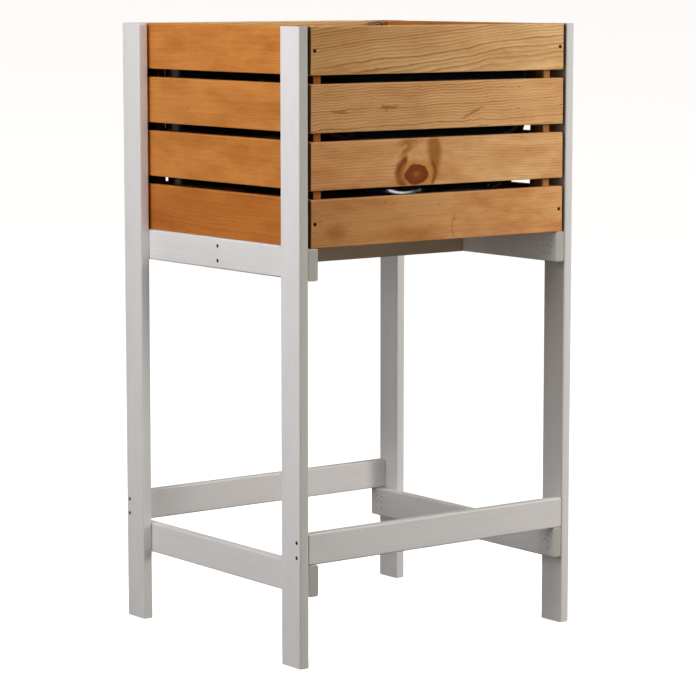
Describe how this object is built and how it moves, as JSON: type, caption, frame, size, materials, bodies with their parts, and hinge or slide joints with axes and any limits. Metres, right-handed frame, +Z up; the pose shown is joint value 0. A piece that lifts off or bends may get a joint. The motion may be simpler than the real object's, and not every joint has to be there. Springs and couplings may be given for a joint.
{
  "type": "sand and water table",
  "caption": "Deep slatted wooden box with a film liner, on a tall white painted stand with low rails, for sand, water or soil.",
  "frame": {"origin": "on the floor, under the middle of the stand", "axes": "+Z up, +X to the right along the wide front, -Y towards the front, which is the side whose slats cover the ends of the side slats"},
  "size_m": [0.56, 0.495, 1],
  "materials": {
    "white_paint": "white paint, satin, over planed softwood",
    "stained_pine": "honey brown stain, satin",
    "raw_pine": "sawn, bare",
    "black_film": "glossy black film",
    "dark_steel": "dark phosphated screws"
  },
  "bodies": {
    "root": {"leg_front_left": "white_paint", "leg_front_right": "white_paint", "leg_rear_left": "white_paint", "leg_rear_right": "white_paint", "upper_side_rail_left": "white_paint", "upper_side_rail_right": "white_paint", "lower_side_rail_left": "white_paint", "lower_side_rail_right": "white_paint", "lower_front_rail": "white_paint", "lower_rear_rail": "white_paint", "centre_beam": "white_paint", "front_slat_1": "stained_pine", "front_slat_2": "stained_pine", "front_slat_3": "stained_pine", "front_slat_4": "stained_pine", "rear_slat_1": "stained_pine", "rear_slat_2": "stained_pine", "rear_slat_3": "stained_pine", "rear_slat_4": "stained_pine", "left_slat_1": "stained_pine", "left_slat_2": "stained_pine", "left_slat_3": "stained_pine", "left_slat_4": "stained_pine", "right_slat_1": "stained_pine", "right_slat_2": "stained_pine", "right_slat_3": "stained_pine", "right_slat_4": "stained_pine", "corner_post_front_left": "stained_pine", "corner_post_front_right": "stained_pine", "corner_post_rear_left": "stained_pine", "corner_post_rear_right": "stained_pine", "floor_bearer_front": "raw_pine", "floor_bearer_middle": "raw_pine", "floor_bearer_rear": "raw_pine", "floor_board_1": "raw_pine", "floor_board_2": "raw_pine", "floor_board_3": "raw_pine", "floor_board_4": "raw_pine", "floor_board_5": "raw_pine", "liner": "black_film", "rail_screw_front_left_upper": "dark_steel", "rail_screw_front_left_lower": "dark_steel", "rail_screw_front_right_upper": "dark_steel", "rail_screw_front_right_lower": "dark_steel", "rail_screw_rear_left_upper": "dark_steel", "rail_screw_rear_left_lower": "dark_steel", "rail_screw_rear_right_upper": "dark_steel", "rail_screw_rear_right_lower": "dark_steel", "beam_screw_left_upper": "dark_steel", "beam_screw_left_lower": "dark_steel", "beam_screw_right_upper": "dark_steel", "beam_screw_right_lower": "dark_steel", "slat_screw_front_left_top": "dark_steel", "slat_screw_front_left_bottom": "dark_steel", "slat_screw_front_right_top": "dark_steel", "slat_screw_front_right_bottom": "dark_steel", "slat_screw_rear_left_top": "dark_steel", "slat_screw_rear_left_bottom": "dark_steel", "slat_screw_rear_right_top": "dark_steel", "slat_screw_rear_right_bottom": "dark_steel"}
  },
  "joints": []
}
